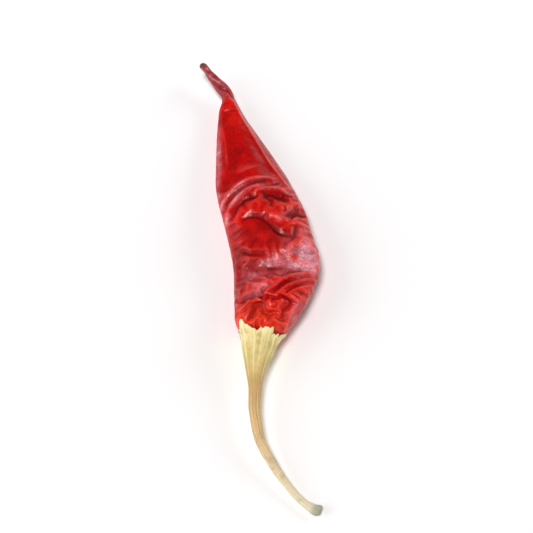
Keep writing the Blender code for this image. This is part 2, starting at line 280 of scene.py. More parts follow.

# where it is a deeper red, partly the skin's own darker tone and partly painted shade (down the left edge, at the
# left of the waist, in the shoulder folds' valleys and on the underside): side (0 both), centre x, y, radii, turn in
# degrees, how much
DEEP_RED_AND_PAINTED_SHADE = [
    (1, 6.4, 17.8, 2.6, 2.8, 0, 1.00),
    (1, 8.4, 15.4, 1.6, 2.2, 0, 0.85),
    (1, 0.9, 18.5, 2.2, 2.8, 0, 0.70),
    (1, 7.0, 25.2, 4.8, 1.0, -8, 0.80),
    (1, -0.2, 13.0, 2.8, 2.2, 0, 1.00),
    (1, -2.0, 7.0, 1.8, 3.2, 0, 0.80),
    (1, 9.0, 7.8, 3.6, 0.4, 0, 0.50),
    (1, 3.6, 35.6, 1.2, 6.0, -10, 0.35),
    (1, -0.8, 1.6, 1.6, 2.0, 0, 0.60),
    (-1, 6.0, 20.0, 7.0, 12.0, 0, 0.45),
]

# where it is a brighter, more orange red: painted light on the lit bulges and faces of the top side; centre x, y,
# radii, turn in degrees, how much
PAINTED_LIGHT = [
    (6.9, 47.6, 2.6, 3.6, 0, 0.45),
    (10.8, 18.4, 2.0, 1.3, -30, 0.50),
    (8.6, 21.6, 3.0, 1.2, -20, 0.25),
    (10.8, 3.6, 2.6, 1.2, 25, 0.45),
    (3.4, -0.4, 4.0, 1.8, 0, 0.30),
    (3.0, 23.0, 3.0, 1.2, 45, 0.20),
]

STROKE_SCALE = 0.75


def distance_to_line(x, y, line):
    line = np.array(line, float)
    best = np.full(np.shape(x), 1e9)
    share = np.zeros(np.shape(x))
    for i, (a, b) in enumerate(zip(line[:-1], line[1:])):
        d = b - a
        t = np.clip(((x - a[0]) * d[0] + (y - a[1]) * d[1]) / (d @ d), 0, 1)
        away = np.hypot(x - a[0] - t * d[0], y - a[1] - t * d[1])
        nearer = away < best
        best = np.where(nearer, away, best)
        share = np.where(nearer, (i + t) / (len(line) - 1), share)
    return best, share


def rounded(line, passes=3):
    """The polyline with its corners cut, so that a fold along it bends smoothly."""
    p = np.array(line, float)
    for _ in range(passes):
        q, r = 0.75 * p[:-1] + 0.25 * p[1:], 0.25 * p[:-1] + 0.75 * p[1:]
        p = np.concatenate([p[:1], np.stack([q, r], axis=1).reshape(-1, 2), p[-1:]])
    return p


def waves(p, length, count, seed):
    """A smooth random field of about that wavelength, the same each run, -1 to 1 or so."""
    rng = np.random.RandomState(seed)
    total = np.zeros(p.shape[:-1])
    for _ in range(count):
        k = rng.normal(size=3)
        k *= 2 * math.pi / (length * rng.uniform(0.75, 1.35)) / np.linalg.norm(k)
        total += np.cos(p @ k + rng.uniform(0, 2 * math.pi))
    return total / math.sqrt(count / 2)


def pod_plain(s, angle):
    """The CAD pod's surface with no folds; its tapering end has crisper long edges."""
    at, side, up, _ = frames(POD_LENGTH, POD_COLS, s)
    dome = np.sqrt(np.clip(1 - (1 - np.clip(s / BASE_DOME, 0, 1)) ** 2, 0, 1))
    dome = dome * np.sqrt(np.clip(1 - (1 - np.clip((POD_WHOLE - s) / TIP_DOME, 0, 1)) ** 2, 0, 1))
    n = at[..., 5] - 0.20 * plateau(s, 34, 50, 6)
    a, b, roll = at[..., 3] * dome, at[..., 4] * dome, np.radians(at[..., 6])
    # the tail is wrung: two ridges wind round it
    wrung = smooth01((s - (POD_WHOLE - 12.5)) / 3.5) * smooth01((POD_WHOLE - s) / 1.5)
    wring = 1 - wrung * (0.10 - 0.15 * np.cos(2 * angle - 0.85 * s) - 0.05 * np.cos(5 * angle - 1.3 * s + 1))
    a, b = a * wring, b * wring
    c, d = np.cos(angle), np.sin(angle)
    u = a * np.sign(c) * np.abs(c) ** (2 / n)
    v = b * np.sign(d) * np.abs(d) ** (2 / n)
    turned_u = u * np.cos(roll) - v * np.sin(roll)
    turned_v = u * np.sin(roll) + v * np.cos(roll)
    p = at[..., :3] + side * turned_u[..., None] + up * turned_v[..., None]
    return p, up, v / np.maximum(b, 1e-6)


def pod_folded(s, angle):
    p, up, facing = pod_plain(s, angle)
    x, y = p[..., 0], p[..., 1]
    lift = np.zeros_like(x)
    for which, height, breadth, sharp, ends, line in STROKES:
        away, share = distance_to_line(x, y, rounded(line))
        on_side = np.clip(facing * which, 0, 1) ** 0.6
        fade = smooth01(np.minimum(share, 1 - share) / ends)
        q = away / breadth
        round_one = np.exp(-q * q)
        cusp = np.exp(-1.6 * (np.sqrt(q * q + 0.012) - 0.11))
        lift += STROKE_SCALE * which * height * on_side * fade * ((1 - sharp) * round_one + sharp * cusp)
    return p + up * lift[..., None]


def normals_of(p, centre):
    du = np.empty_like(p)
    du[1:-1] = p[2:] - p[:-2]
    du[0], du[-1] = p[1] - p[0], p[-1] - p[-2]
    dv = np.roll(p, -1, axis=1) - np.roll(p, 1, axis=1)
    n = np.cross(dv, du)
    n /= np.maximum(np.linalg.norm(n, axis=-1, keepdims=True), 1e-9)
    out = np.sum(n * (p - centre), axis=(1, 2), keepdims=True)
    return n * np.sign(out)


def blurred(a, passes, rate=0.5):
    """The grid smoothed along both ways; the second axis closes on itself."""
    a = a.copy()
    for _ in range(passes):
        a += rate * (0.5 * (np.roll(a, 1, axis=1) + np.roll(a, -1, axis=1)) - a)
        a[1:-1] += rate * (0.5 * (a[:-2] + a[2:]) - a[1:-1])
    return a


# ------------------------------------------------------------------ the skin's simulation
def rest_lengths(base, growth):
    """Each spring's own length: its length on the base surface, made longer by the growth."""
    def grown(vectors, at):
        long = np.linalg.norm(vectors, axis=-1)
        unit = vectors / np.maximum(long, 1e-9)[..., None]
        more = np.zeros_like(long)
        for field, ways in growth:
            way = ways if ways.ndim == 1 else ways[at]
            more += field[at] * np.sum(unit * way, axis=-1) ** 2
        return long * (1 + more)

    every, inner = (slice(None), slice(None)), (slice(None, -1), slice(None))
    return (
        grown(base[1:] - base[:-1], inner),
        grown(np.roll(base, -1, axis=1) - base, every),
        grown(np.roll(base[1:], -1, axis=1) - base[:-1], inner),
        grown(np.roll(base[1:], 1, axis=1) - base[:-1], inner),
    )


def relax(start, base, normal, growth, free, steps, wavelength, onset, push, momentum=0.96):
    """Lets the sheet find its shape. It is held to base by a soft bed, has the springs of
    rest_lengths, and bends least easily at short wavelengths."""
    f4 = np.float32
    bed = 1.0
    stiff = (wavelength / (2 * math.pi)) ** 4 * bed
    pull = 2 * math.sqrt(stiff * bed) / onset
    lengths = [x.astype(f4) for x in rest_lengths(base, growth)]
    hs = np.linalg.norm(base[1:] - base[:-1], axis=-1)
    hs_at = np.concatenate([hs[:1], 0.5 * (hs[1:] + hs[:-1]), hs[-1:]])
    ht = np.linalg.norm(np.roll(base, -1, axis=1) - base, axis=-1)
    ht_at = 0.5 * (ht + np.roll(ht, 1, axis=1))
    ht_at, hs_at, ht, hs = (np.maximum(x, 0.02) for x in (ht_at, hs_at, ht, hs))
    area = (hs_at * ht_at).astype(f4)
    k_s = (0.7 * pull * 0.5 * (ht_at[1:] + ht_at[:-1]) / hs).astype(f4)
    k_t = (0.7 * pull * hs_at / ht).astype(f4)
    k_d = (0.35 * pull * 2 * hs_at[:-1] * ht_at[:-1] / (hs_at[:-1] ** 2 + ht_at[:-1] ** 2)).astype(f4)
    b_s = (stiff * ht_at[1:-1] / hs_at[1:-1] ** 3).astype(f4)[..., None]
    b_t = (stiff * hs_at / ht_at**3).astype(f4)[..., None]
    b_x = (2 * stiff / (hs_at * ht_at)).astype(f4)[:-1, :, None]
    base32 = base.astype(f4)
    normal32 = normal.astype(f4)

    def curls(p):
        cs = p[2:] - 2 * p[1:-1] + p[:-2]
        ct = np.roll(p, -1, axis=1) - 2 * p + np.roll(p, 1, axis=1)
        q = np.roll(p, -1, axis=1) - p
        return cs, ct, q[1:] - q[:-1]

    cs0, ct0, cx0 = curls(base32)
    mass = bed * area
    mass = mass + 0.0
    mass[1:] += k_s
    mass[:-1] += k_s
    mass += k_t + np.roll(k_t, 1, axis=1)
    mass[:-1] += 2 * k_d
    mass[1:] += 2 * k_d
    mass[1:-1] += 4 * b_s[..., 0]
    mass[2:] += b_s[..., 0]
    mass[:-2] += b_s[..., 0]
    mass += 6 * b_t[..., 0]
    mass[:-1] += 2 * b_x[..., 0]
    mass[1:] += 2 * b_x[..., 0]
    give = (0.55 * free / mass).astype(f4)[..., None]
    p = start.astype(f4)
    v = np.zeros_like(p)
    push32 = (push * area).astype(f4)[..., None]
    for step in range(steps):
        force = np.zeros_like(p)
        d = p[1:] - p[:-1]
        f = d * (k_s * (1 - lengths[0] / np.sqrt(np.einsum("ijk,ijk->ij", d, d) + 1e-12)))[..., None]
        force[:-1] += f
        force[1:] -= f
        d = np.roll(p, -1, axis=1) - p
        f = d * (k_t * (1 - lengths[1] / np.sqrt(np.einsum("ijk,ijk->ij", d, d) + 1e-12)))[..., None]
        force += f - np.roll(f, 1, axis=1)
        d = np.roll(p[1:], -1, axis=1) - p[:-1]
        f = d * (k_d * (1 - lengths[2] / np.sqrt(np.einsum("ijk,ijk->ij", d, d) + 1e-12)))[..., None]
        force[:-1] += f
        force[1:] -= np.roll(f, 1, axis=1)
        d = np.roll(p[1:], 1, axis=1) - p[:-1]
        f = d * (k_d * (1 - lengths[3] / np.sqrt(np.einsum("ijk,ijk->ij", d, d) + 1e-12)))[..., None]
        force[:-1] += f
        force[1:] -= np.roll(f, -1, axis=1)
        cs, ct, cx = curls(p)
        cs = b_s * (cs - cs0)
        ct = b_t * (ct - ct0)
        cx = b_x * (cx - cx0)
        force[1:-1] += 2 * cs
        force[2:] -= cs
        force[:-2] -= cs
        force += 2 * ct - np.roll(ct, 1, axis=1) - np.roll(ct, -1, axis=1)
        force[:-1] -= cx
        force[1:] += cx
        r = np.roll(cx, 1, axis=1)
        force[:-1] += r
        force[1:] -= r
        off = p - base32
        out = np.einsum("ijk,ijk->ij", off, normal32)
        # the bed resists lifting more than sinking, and stiffens as the skin sinks deep
        hold = bed * np.where(out > 0, 1 + 2.0 * np.tanh(out / 0.15), 1 + (out / 0.9) ** 2)
        force -= (area * (hold * out - 0.25 * bed * out))[..., None] * normal32
        force -= (0.25 * bed * area)[..., None] * off
        force -= push32 * normal32
        v = momentum * v + give * force
        size = np.sqrt(np.einsum("ijk,ijk->ij", v, v))
        v *= np.minimum(1, 0.05 / np.maximum(size, 1e-9))[..., None]
        p += v
        np.maximum(p[..., 2], 0, out=p[..., 2])
    return p.astype(float)


def doubled(a):
    """The grid at twice the resolution, by cubic interpolation."""
    n0 = a.shape[0]
    out = np.empty((2 * n0 - 1, a.shape[1]) + a.shape[2:])
    out[::2] = a
    mid = 0.5 * (a[1:] + a[:-1])
    mid[1:-1] = 9 / 16 * (a[1:-2] + a[2:-1]) - 1 / 16 * (a[:-3] + a[3:])
    out[1::2] = mid
    wide = np.empty((out.shape[0], 2 * out.shape[1]) + a.shape[2:])
    wide[:, ::2] = out
    wide[:, 1::2] = 9 / 16 * (out + np.roll(out, -1, axis=1)) - 1 / 16 * (
        np.roll(out, 1, axis=1) + np.roll(out, -2, axis=1)
    )
    return wide


RINGS, SIDES = 190, 120  # of the coarse grid; the fine one has twice as many


def pod_grid():
    base = BASE_DOME * (1 - np.cos(np.linspace(0.14, math.pi / 2, 15)))
    tip = POD_WHOLE - TIP_DOME * (1 - np.cos(np.linspace(math.pi / 2, 0.22, 9)))
    middle = np.linspace(base[-1], tip[0], RINGS - len(base) - len(tip) + 2)[1:-1]
    s = np.concatenate([base, middle, tip])
    return np.meshgrid(s, np.linspace(0, 2 * math.pi, SIDES, endpoint=False), indexing="ij")


def growth_of(p, normal, facing, s, strength):
    """The growth fields of the skin and the way each one acts."""
    around = np.roll(p, -1, axis=1) - np.roll(p, 1, axis=1)
    around /= np.maximum(np.linalg.norm(around, axis=-1, keepdims=True), 1e-9)
    along = np.cross(normal, around)
    patchy = 0.5 + 0.5 * np.tanh(1.3 * waves(p, 13.0, 12, 5))
    flat = 0.25 + 0.75 * smooth01((np.abs(facing) - 0.15) / 0.5)  # the side edges stay even
    for x, y, rx, ry, turn, much in TAUT:
        t = math.radians(turn)
        dx, dy = p[..., 0] - x, p[..., 1] - y
        u, v = dx * math.cos(t) + dy * math.sin(t), dy * math.cos(t) - dx * math.sin(t)
        flat = flat * (1 - much * np.exp(-((u / rx) ** 2) - (v / ry) ** 2))
    calm = 1 - 0.80 * plateau(s, 36, 60, 5)  # and so does the tapering end
    fields = [
        (strength * 0.055 * (0.35 + 0.9 * patchy) * plateau(s, 3, 60, 3) * flat * calm, along),
        (strength * 0.045 * (1.15 - 0.7 * patchy) * plateau(s, 2, 70, 3) * (0.08 + 0.92 * flat) * (0.35 + 0.65 * calm), around),
    ]
    for side, x, y, rx, ry, turn, way, much in PATCHES:
        t = math.radians(turn)
        dx, dy = p[..., 0] - x, p[..., 1] - y
        u, v = dx * math.cos(t) + dy * math.sin(t), dy * math.cos(t) - dx * math.sin(t)
        field = np.exp(-((u / rx) ** 2) - (v / ry) ** 2)
        if side:
            field = field * smooth01(0.3 + facing * side * 1.2)
        w = math.radians(way)
        fields.append((strength * much * field, np.array([math.cos(w), math.sin(w), 0.0])))
    return fields


COARSE = (7.0, 0.006, 0.30)  # wavelength, strain at which it starts to wrinkle, inward push
FINE = (2.0, 0.006, 0.05)
FINEST = (1.0, 0.006, 0.0)
GROWN = (0.6, 0.75, 0.60)


def make_skin():
    s, angle = pod_grid()
    base = pod_folded(s, angle)
    base[..., 2] = np.maximum(base[..., 2], 0)
    centre = frames(POD_LENGTH, POD_COLS, s[:, :1])[0][..., :3]
    facing = pod_plain(s, angle)[2]
    normal = normals_of(blurred(base, 6), centre)
    # under the calyx and at the very end of the tail the skin stays where it is
    free = smooth01((s - 1.0) / 1.6) * smooth01((POD_WHOLE - 0.3 - s) / 1.5)
    resting = smooth01((base[..., 2] - 0.02) / 0.5)
    start = base + normal * (free * 0.10 * waves(base, 5.0, 24, 11) * (0.3 + 0.7 * resting))[..., None]
    start[..., 2] = np.maximum(start[..., 2], 0)
    coarse = relax(
        start, base, normal, growth_of(base, normal, facing, s, GROWN[0]), free,
        900, *COARSE,
    )
    moved = doubled(coarse - base)
    s, angle = doubled(s), None
    fine_s, fine_angle = np.meshgrid(
        s[:, 0], np.linspace(0, 2 * math.pi, 2 * SIDES, endpoint=False), indexing="ij"
    )
    s = fine_s
    folded = pod_folded(s, fine_angle)
    folded[..., 2] = np.maximum(folded[..., 2], 0)
    base = folded + moved
    base[..., 2] = np.maximum(base[..., 2], 0)
    centre = frames(POD_LENGTH, POD_COLS, s[:, :1])[0][..., :3]
    facing = pod_plain(s, fine_angle)[2]
    normal = normals_of(blurred(base, 8), centre)
    free = smooth01((s - 1.0) / 1.6) * smooth01((POD_WHOLE - 0.3 - s) / 1.5)
    start = base + normal * (free * 0.035 * waves(base, 2.0, 30, 23))[..., None]
    start[..., 2] = np.maximum(start[..., 2], 0)
    skin = relax(
        start, base, normal, growth_of(base, normal, facing, s, GROWN[1]), free,
        700, *FINE,
    )
    # the finest wrinkles, on what the coarser ones have made
    normal = normals_of(blurred(skin, 3), centre)
    start = skin + normal * (free * 0.012 * waves(skin, 1.0, 30, 37))[..., None]
    start[..., 2] = np.maximum(start[..., 2], 0)
    skin = relax(
        start, skin, normal, growth_of(skin, normal, facing, s, GROWN[2]), free,
        350, *FINEST,
    )
    x, y = skin[..., 0], skin[..., 1]
    drawn = np.zeros_like(x)
    for side, cx, cy, rx, ry, much in SMOOTH:
        drawn += much * smooth01(0.3 + facing * side * 1.2) * np.exp(-(((x - cx) / rx) ** 2) - ((y - cy) / ry) ** 2)
    skin = skin + np.clip(drawn, 0, 0.9)[..., None] * (blurred(skin, 16) - skin)
    # the highest crests are pressed down a little, to stay within the pod's height
    high = 8.4
    skin[..., 2] = np.where(skin[..., 2] > high, high + 0.6 * np.tanh((skin[..., 2] - high) / 0.6), skin[..., 2])
    return s, fine_angle, skin, centre, facing


# ------------------------------------------------------------------ meshes
def mesh_of(name, grid, first, last, smooth=True):
    """A closed mesh over a grid of points in mm, rings first, with a point at each end."""
    rings, sides = grid.shape[:2]
    points = np.concatenate([grid.reshape(-1, 3), [first], [last]]) - SHIFT
    i, j = np.meshgrid(np.arange(rings - 1), np.arange(sides), indexing="ij")
    k = (j + 1) % sides
    quads = np.stack([i * sides + j, i * sides + k, (i + 1) * sides + k, (i + 1) * sides + j], axis=-1)
    quads = quads.reshape(-1, 4)
    j = np.arange(sides)
    k = (j + 1) % sides
    a, b = rings * sides, rings * sides + 1
    low = np.stack([np.full(sides, a), k, j], axis=1)
    high = np.stack([np.full(sides, b), (rings - 1) * sides + j, (rings - 1) * sides + k], axis=1)
    # outward is found from the volume's sign
    def volume(f):
        p = points[f]
        return np.einsum("ij,ij->i", p[:, 0], np.cross(p[:, 1], p[:, 2])).sum()

    total = volume(quads[:, :3]) + volume(quads[:, [0, 2, 3]]) + volume(low) + volume(high)
    if total < 0:
        quads, low, high = quads[:, ::-1], low[:, ::-1], high[:, ::-1]
    mesh = bpy.data.meshes.new(name)
    faces = quads.tolist() + low.tolist() + high.tolist()
    mesh.from_pydata((points * MM).tolist(), [], faces)
    mesh.validate()
    if smooth:
        mesh.shade_smooth()
    obj = bpy.data.objects.new(name, mesh)
    bpy.context.scene.collection.objects.link(obj)
    return obj


def attribute(obj, name, grid, first=0.0, last=0.0):
    data = np.concatenate([np.asarray(grid, float).ravel(), [first, last]]).astype(np.float32)
    obj.data.attributes.new(name, "FLOAT", "POINT").data.foreach_set("value", data)


# ------------------------------------------------------------------ materials
class Nodes:
    """A small helper that adds and joins shader nodes."""

    def __init__(self, name):
        self.material = bpy.data.materials.new(name)
        self.material.use_nodes = True
        self.tree = self.material.node_tree
        self.shader = self.tree.nodes["Principled BSDF"]
        self.column = 0

    def node(self, kind, inputs=(), **settings):
        n = self.tree.nodes.new(kind)
        self.column += 1
        n.location = (-1400 + 160 * (self.column % 8), 500 - 160 * (self.column // 8))
        for key, value in settings.items():
            setattr(n, key, value)
        for key, value in dict(inputs).items():
            self.give(n.inputs[key], value)
        return n

    def give(self, socket, value):
        if isinstance(value, bpy.types.NodeSocket):
            self.tree.links.new(value, socket)
        else:
            socket.default_value = value

    def attribute(self, name):
        return self.node("ShaderNodeAttribute", attribute_name=name).outputs["Fac"]

    def position(self):
        return self.node("ShaderNodeTexCoord").outputs["Object"]

    def math(self, op, a, b=0.0, clamp=False):
        return self.node("ShaderNodeMath", {0: a, 1: b}, operation=op, use_clamp=clamp).outputs[0]

    def ramp(self, value, stops, smooth=False):
        n = self.node("ShaderNodeValToRGB", {"Fac": value})
        n.color_ramp.interpolation = "EASE" if smooth else "LINEAR"
        while len(n.color_ramp.elements) < len(stops):
            n.color_ramp.elements.new(0.5)
        for e, (at, colour) in zip(n.color_ramp.elements, stops):
            e.position = at
            e.color = (*colour, 1) if len(colour) == 3 else colour
        return n.outputs["Color"]

    def remap(self, value, a, b, c=0.0, d=1.0):
        n = self.node(
            "ShaderNodeMapRange",
            {"Value": value, "From Min": a, "From Max": b, "To Min": c, "To Max": d},
            interpolation_type="SMOOTHSTEP",
        )
        return n.outputs["Result"]

    def mix(self, fac, a, b, blend="MIX"):
        n = self.node("ShaderNodeMix", data_type="RGBA", blend_type=blend)
        self.give(n.inputs["Factor"], fac)
        self.give(n.inputs[6], a if isinstance(a, bpy.types.NodeSocket) else (*a, 1))
        self.give(n.inputs[7], b if isinstance(b, bpy.types.NodeSocket) else (*b, 1))
        return n.outputs[2]

    def noise(self, vector, scale, detail=3.0, rough=0.55, distortion=0.0):
        return self.node(
            "ShaderNodeTexNoise",
            {"Vector": vector, "Scale": scale, "Detail": detail, "Roughness": rough, "Distortion": distortion},
        ).outputs["Fac"]

    def bump(self, height, distance, strength=1.0, under=None):
        inputs = {"Height": height, "Distance": distance, "Strength": strength}
        if under is not None:
            inputs["Normal"] = under
        return self.node("ShaderNodeBump", inputs).outputs["Normal"]


def skin_material():
    m = Nodes("dried_chilli_skin")
    here = m.position()
    crest_highlight = m.attribute("crest_highlight")
    hollow_shade = m.attribute("hollow_shade")
    crease_shade = m.attribute("crease_shade")
    lit_swell = m.attribute("lit_swell")
    bloom_and_sheen = m.attribute("bloom_and_sheen")
    deep_red_and_shade = m.attribute("deep_red_and_shade")
    tail = m.attribute("tail")
    neck = m.attribute("neck")
    broad = m.noise(here, 170.0, 6.0, 0.62, 0.8)
    fine = m.noise(here, 900.0, 5.0, 0.66, 0.4)
    grain = m.noise(here, 3600.0, 3.0, 0.6)
    # the skin's fine net of tiny creases, drawn out across the pod
    across = m.node("ShaderNodeMapping", {"Vector": here, "Scale": (0.62, 1.35, 1.0)}).outputs[0]
    wander = m.node("ShaderNodeTexNoise", {"Vector": here, "Scale": 620.0, "Detail": 2.0}).outputs["Color"]
    small = m.node("ShaderNodeVectorMath", {0: wander, 3: 0.0007}, operation="SCALE").outputs[0]
    net_at = m.node("ShaderNodeVectorMath", {0: across, 1: small}, operation="ADD").outputs[0]
    cells = m.node(
        "ShaderNodeTexVoronoi", {"Vector": net_at, "Scale": 1900.0, "Randomness": 1.0}, feature="DISTANCE_TO_EDGE",
    ).outputs["Distance"]
    net = m.remap(cells, 0.0, 0.22, 0.0, 1.0)  # 0 in the tiny creases, 1 on the cells
    lines = m.math("ABSOLUTE", m.math("SUBTRACT", m.noise(across, 1250.0, 4.0, 0.6, 1.2), 0.5))
    lines = m.remap(lines, 0.0, 0.085, 0.0, 1.0)  # 0 along wandering fine lines

    red = m.ramp(broad, [
        (0.28, (0.29, 0.0009, 0.0014)), (0.44, (0.46, 0.0015, 0.0018)),
        (0.56, (0.56, 0.0022, 0.0022)), (0.72, (0.70, 0.0052, 0.0034)),
    ])
    # painted light: the bulges and the listed lit places are drawn a brighter, more orange red
    red = m.mix(m.remap(lit_swell, 0.50, 0.95, 0.0, 0.75), red, (0.84, 0.0160, 0.0075))
    red = m.mix(m.remap(fine, 0.46, 0.72, 0.0, 0.45), red, (0.20, 0.0006, 0.0018))
    red = m.mix(m.remap(fine, 0.40, 0.26, 0.0, 0.35), red, (0.80, 0.0200, 0.0100))
    # painted shade: the tiny creases of the net and the fine lines are drawn darker
    red = m.mix(m.remap(net, 1.0, 0.0, 0.0, 0.22), red, (0.16, 0.0005, 0.0016))
    red = m.mix(m.remap(lines, 1.0, 0.0, 0.0, 0.25), red, (0.17, 0.0005, 0.0016))
    # painted shade: the broad hollows of the skin are drawn a deeper red
    red = m.mix(m.remap(hollow_shade, 0.40, 1.0, 0.0, 0.40), red, (0.16, 0.0005, 0.0018))
    # deeper red, partly the skin's own tone and partly painted shade
    red = m.mix(m.math("MULTIPLY", deep_red_and_shade, 0.55), red, (0.15, 0.0005, 0.0018))
    # painted shade: the narrow creases are drawn near black
    red = m.mix(m.remap(crease_shade, 0.30, 1.0, 0.0, 0.55), red, (0.090, 0.0004, 0.0014))
    # painted highlight: the sharp crests are drawn a pale pink, as if catching the light
    red = m.mix(m.remap(crest_highlight, 0.50, 1.0, 0.0, 0.36), red, (0.84, 0.085, 0.050))
    # a dull, paler bloom where the skin is leathery, thinner in its creases; much of it is painted sheen and painted
    # highlight, a pale pink standing in for light reflected off the skin
    bloom_and_sheen_mask = m.math("MULTIPLY", bloom_and_sheen, m.remap(fine, 0.30, 0.66, 1.0, 0.50), clamp=True)
    bloom_and_sheen_mask = m.math("MULTIPLY", bloom_and_sheen_mask, m.remap(net, 0.0, 1.0, 0.70, 1.0))
    bloom_and_sheen_mask = m.math("MULTIPLY", bloom_and_sheen_mask, m.remap(lines, 0.0, 1.0, 0.70, 1.0))
    red = m.mix(m.math("MULTIPLY", bloom_and_sheen_mask, 0.92), red, (0.88, 0.440, 0.500))
    dusk = m.mix(m.noise(here, 1400.0, 2.0), (0.15, 0.010, 0.022), (0.40, 0.070, 0.085))
    red = m.mix(m.math("MULTIPLY", tail, 0.72), red, dusk)
    # painted highlight: the tail's crests are drawn a paler pink
    red = m.mix(m.math("MULTIPLY", m.math("MULTIPLY", tail, crest_highlight), 0.75), red, (0.70, 0.36, 0.36))
    red = m.mix(m.remap(tail, 0.90, 1.0, 0.0, 0.85), red, (0.115, 0.062, 0.040))
    red = m.mix(m.math("MULTIPLY", neck, m.remap(broad, 0.35, 0.65, 0.15, 0.60)), red, (0.80, 0.060, 0.012))
    m.give(m.shader.inputs["Base Color"], red)

    rough = m.remap(fine, 0.30, 0.75, 0.24, 0.38)
    rough = m.math("ADD", rough, m.math("MULTIPLY", hollow_shade, 0.08))
    rough = m.math("ADD", rough, m.math("MULTIPLY", bloom_and_sheen, 0.10))
    rough = m.math("ADD", rough, m.math("MULTIPLY", tail, 0.20))
    m.give(m.shader.inputs["Roughness"], rough)
    coat = m.math("SUBTRACT", 0.50, m.math("MULTIPLY", crease_shade, 0.35), clamp=True)
    coat = m.math("SUBTRACT", coat, m.math("MULTIPLY", bloom_and_sheen, 0.34), clamp=True)
    m.give(m.shader.inputs["Coat Weight"], coat)
    m.shader.inputs["Coat Roughness"].default_value = 0.11
    m.shader.inputs["Coat IOR"].default_value = 1.45
    m.shader.inputs["IOR"].default_value = 1.42
    m.shader.inputs["Specular IOR Level"].default_value = 0.14
    m.shader.inputs["Subsurface Weight"].default_value = 0.05
    m.shader.inputs["Subsurface Radius"].default_value = (0.0012, 0.0002, 0.0001)
    m.shader.inputs["Subsurface Scale"].default_value = 1.0

    under = m.bump(m.math("MULTIPLY", net, m.math("ADD", 0.35, bloom_and_sheen, clamp=True)), 0.000030, 0.6)
    under = m.bump(lines, 0.000020, 0.6, under)
    under = m.bump(fine, 0.00007, 0.5, under)
    under = m.bump(grain, 0.000012, 0.5, under)
    m.give(m.shader.inputs["Normal"], under)
    film = m.bump(fine, 0.000022, 0.5, m.bump(lines, 0.000007, 0.5))
    m.give(m.shader.inputs["Coat Normal"], film)
    return m.material


def stalk_material():
    m = Nodes("dry_calyx_and_stem")
    here = m.position()
    along = m.attribute("along")
    rim = m.attribute("rim")
    knob = m.attribute("knob")
    fibre = m.attribute("fibre")
    broad = m.noise(here, 260.0, 3.0, 0.6, 0.3)
    fine = m.noise(here, 1500.0, 4.0, 0.62)
    speck = m.noise(here, 4200.0, 2.0, 0.5)

    straw = m.ramp(along, [
        (0.00, (0.86, 0.73, 0.38)), (0.10, (0.78, 0.63, 0.29)), (0.24, (0.57, 0.365, 0.155)),
        (0.50, (0.66, 0.450, 0.230)), (0.75, (0.74, 0.64, 0.44)), (1.00, (0.68, 0.64, 0.50)),
    ])
    # green is left in the cone, in streaks between its veins
    green = m.math("MULTIPLY", m.remap(along, 0.42, 0.05, 0.0, 1.0), m.remap(broad, 0.40, 0.62, 0.25, 1.0))
    green = m.math("MULTIPLY", green, m.remap(fibre, 0.75, 0.25, 0.25, 1.0))
    straw = m.mix(m.math("MULTIPLY", green, 0.62), straw, (0.40, 0.38, 0.075))
    straw = m.mix(m.remap(fine, 0.50, 0.75, 0.0, 0.40), straw, (0.42, 0.27, 0.10))
    straw = m.mix(m.remap(fibre, 0.30, 0.0, 0.0, 0.45), straw, (0.30, 0.21, 0.075))
    straw = m.mix(m.remap(fibre, 0.60, 1.0, 0.0, 0.60), straw, (0.88, 0.78, 0.48))
    straw = m.mix(m.remap(speck, 0.66, 0.76, 0.0, 0.35), straw, (0.20, 0.12, 0.045))
    straw = m.mix(m.math("MULTIPLY", rim, 0.70), straw, (0.90, 0.82, 0.52))
    # weathered grey patches on the stem, and its grey cut end
    grey = m.math("MULTIPLY", m.remap(along, 0.30, 0.75, 0.15, 0.85), m.remap(broad, 0.46, 0.64, 0.0, 1.0))
    straw = m.mix(m.math("MULTIPLY", grey, 0.55), straw, (0.33, 0.29, 0.19))
    straw = m.mix(m.math("MULTIPLY", knob, 0.80), straw, m.mix(fine, (0.20, 0.20, 0.14), (0.46, 0.46, 0.36)))
    m.give(m.shader.inputs["Base Color"], straw)
    m.give(m.shader.inputs["Roughness"], m.remap(fine, 0.3, 0.8, 0.50, 0.72))
    m.shader.inputs["Specular IOR Level"].default_value = 0.35
    m.shader.inputs["Subsurface Weight"].default_value = 0.05
    m.shader.inputs["Subsurface Radius"].default_value = (0.0010, 0.0006, 0.0002)
    m.shader.inputs["Subsurface Scale"].default_value = 1.0
    under = m.bump(fine, 0.00012, 0.6)
    m.give(m.shader.inputs["Normal"], m.bump(speck, 0.00003, 0.6, under))
    return m.material


def floor_material():
    m = Nodes("pale_floor")
    cloud = m.noise(m.position(), 3.0, 2.0)
    m.give(m.shader.inputs["Base Color"], m.mix(cloud, (0.905, 0.905, 0.91), (0.93, 0.93, 0.93)))
    m.shader.inputs["Roughness"].default_value = 0.85
    m.shader.inputs["Specular IOR Level"].default_value = 0.2
    return m.material


